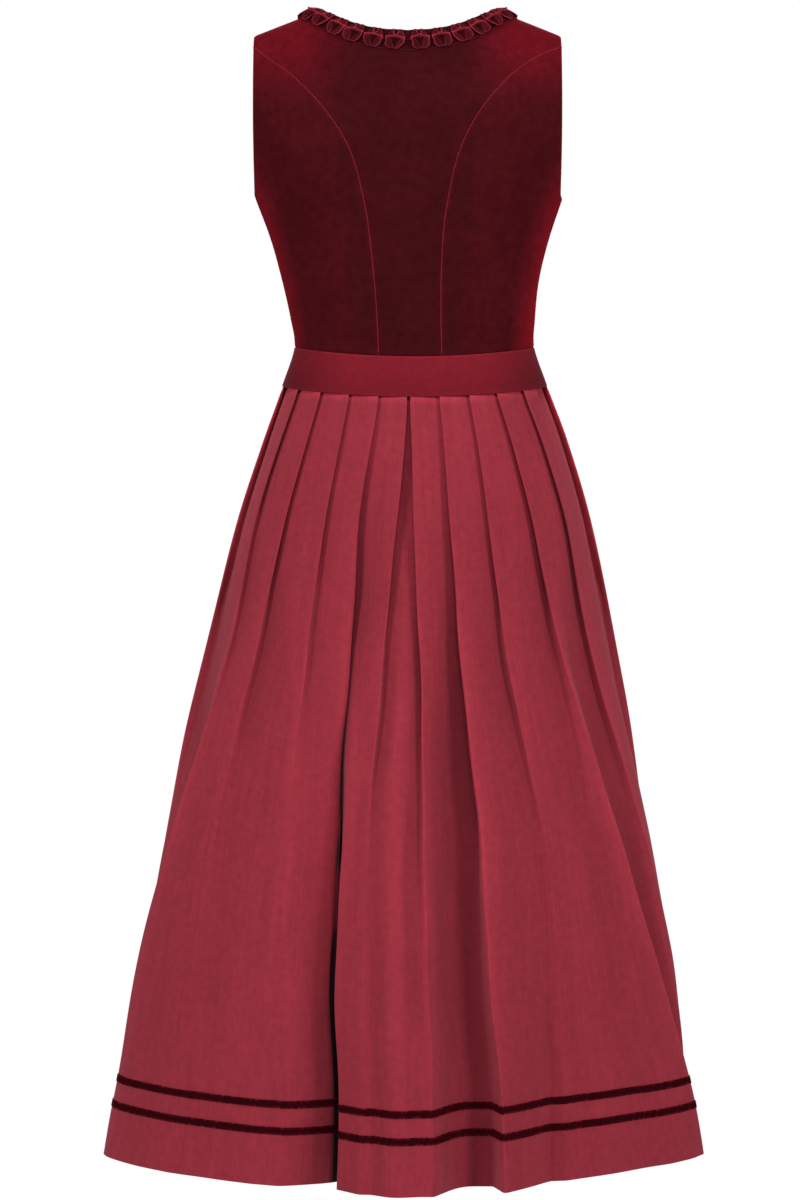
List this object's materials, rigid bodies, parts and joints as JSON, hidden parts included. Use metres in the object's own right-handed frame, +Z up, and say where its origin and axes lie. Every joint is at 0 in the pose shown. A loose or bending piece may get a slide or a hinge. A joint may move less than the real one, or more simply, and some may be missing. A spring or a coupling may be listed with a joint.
{
  "type": "dirndl",
  "caption": "Sleeveless dirndl with a velvet bodice, a ruched neck trim, a smooth waistband and a knife-pleated cotton skirt, hollow in its worn shape.",
  "frame": {"origin": "midway between the two shoulder seams at the neck's shoulder line, where the wearer's shoulders carry the dress", "axes": "+Z up the garment, +Y to the wearer's front, +X to the wearer's right"},
  "size_m": [0.6386, 0.3684, 1.2044],
  "materials": {
    "velvet": "dark burgundy cotton velvet with a short pile and a red sheen along its turned edges",
    "trim_velvet": "the same velvet as a folded and pinched strip, its fold edges brighter",
    "band_cotton": "smooth deep red cotton with a faint weave",
    "skirt_cotton": "raspberry cotton with an upright slub weave, pressed into pleats",
    "ribbon_velvet": "narrow dark velvet ribbon with a fuzzy pile"
  },
  "bodies": {
    "root": {"bodice_back": "velvet", "bodice_side_back_left": "velvet", "bodice_side_back_right": "velvet", "bodice_side_front_left": "velvet", "bodice_side_front_right": "velvet", "bodice_front_left": "velvet", "bodice_front_right": "velvet", "neck_trim": "trim_velvet", "waistband_back": "band_cotton", "waistband_front_left": "band_cotton", "waistband_front_right": "band_cotton", "skirt_back": "skirt_cotton", "skirt_front": "skirt_cotton", "ribbon_upper_back": "ribbon_velvet", "ribbon_upper_front": "ribbon_velvet", "ribbon_lower_back": "ribbon_velvet", "ribbon_lower_front": "ribbon_velvet"}
  },
  "joints": []
}
